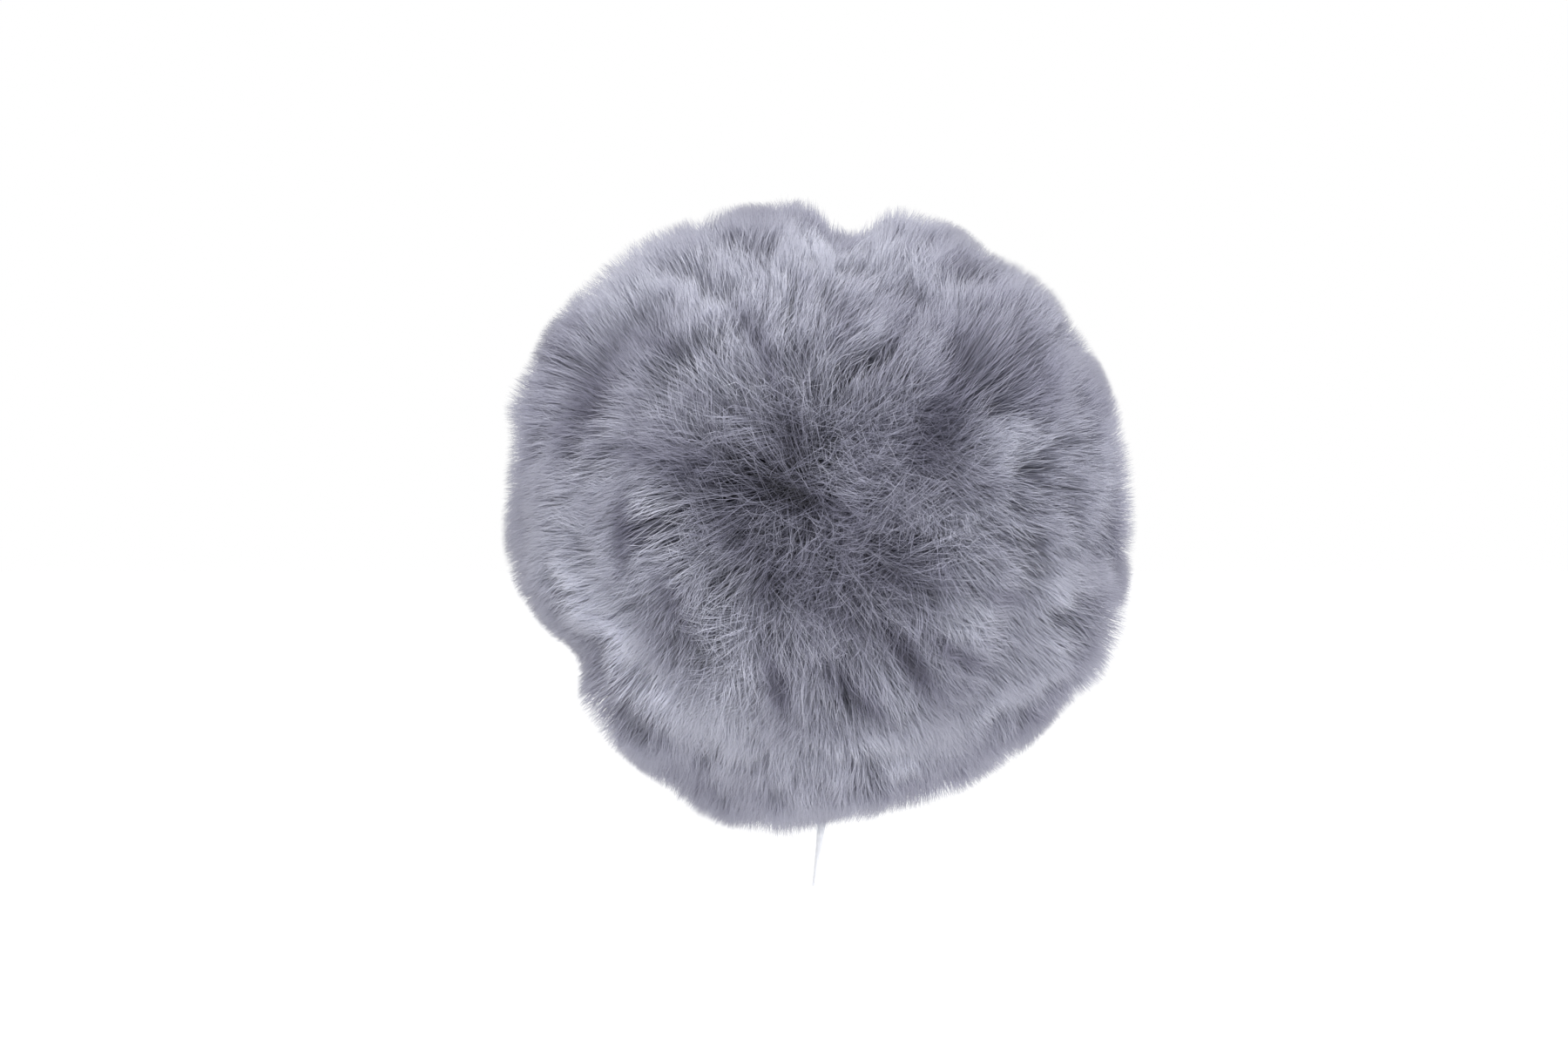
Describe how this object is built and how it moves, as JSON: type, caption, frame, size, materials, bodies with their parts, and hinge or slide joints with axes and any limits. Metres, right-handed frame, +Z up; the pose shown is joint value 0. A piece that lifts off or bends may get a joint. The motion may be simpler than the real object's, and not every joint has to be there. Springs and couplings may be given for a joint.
{
  "type": "furry microphone windscreen",
  "caption": "Ball-shaped long-pile fur windscreen over an open-cell foam core, with a rubber microphone collar and a drawcord hem with a cord lock.",
  "frame": {"origin": "centre of the grip collar's rear face, on the microphone's axis", "axes": "+Y along the microphone's axis, out of the collar, away from the ball; the ball's crown looks along -Y; +Z up"},
  "size_m": [0.118, 0.1262, 0.1356],
  "materials": {
    "fur": "matte",
    "seam_tape": "matte",
    "foam": "matte",
    "hem_cloth": "matte",
    "cord": "matte",
    "grip_rubber": "matte",
    "hub_plastic": "matte",
    "lock_plastic": "satin",
    "steel": "polished"
  },
  "bodies": {
    "windscreen": {"fur_gore_1": "fur", "fur_gore_2": "fur", "fur_gore_3": "fur", "fur_gore_4": "fur", "fur_gore_5": "fur", "fur_gore_6": "fur", "seam_tape_1": "seam_tape", "seam_tape_2": "seam_tape", "seam_tape_3": "seam_tape", "seam_tape_4": "seam_tape", "seam_tape_5": "seam_tape", "seam_tape_6": "seam_tape", "crown_tab": "seam_tape", "foam_core": "foam", "hub_ring": "hub_plastic", "grip_collar": "grip_rubber", "hem_casing": "hem_cloth", "hem_drawcord": "cord", "eyelet_right": "steel", "eyelet_left": "steel", "cord_tail_right": "cord", "cord_tail_left": "cord"},
    "cord_lock": {"lock_barrel": "lock_plastic", "lock_spring": "steel"},
    "lock_button": {"lock_plunger": "lock_plastic"}
  },
  "joints": [
    {"name": "cord_lock_slide", "type": "slide", "parent": "windscreen", "child": "cord_lock", "axis": [0, 0, 1], "range_m": [0, 0.008]},
    {"name": "lock_button_press", "type": "slide", "parent": "cord_lock", "child": "lock_button", "axis": [-1, 0, 0], "range_m": [0, 0.0028], "stiffness_N_per_m": 400, "springref_m": -0.002, "deforming": ["lock_spring"]}
  ]
}
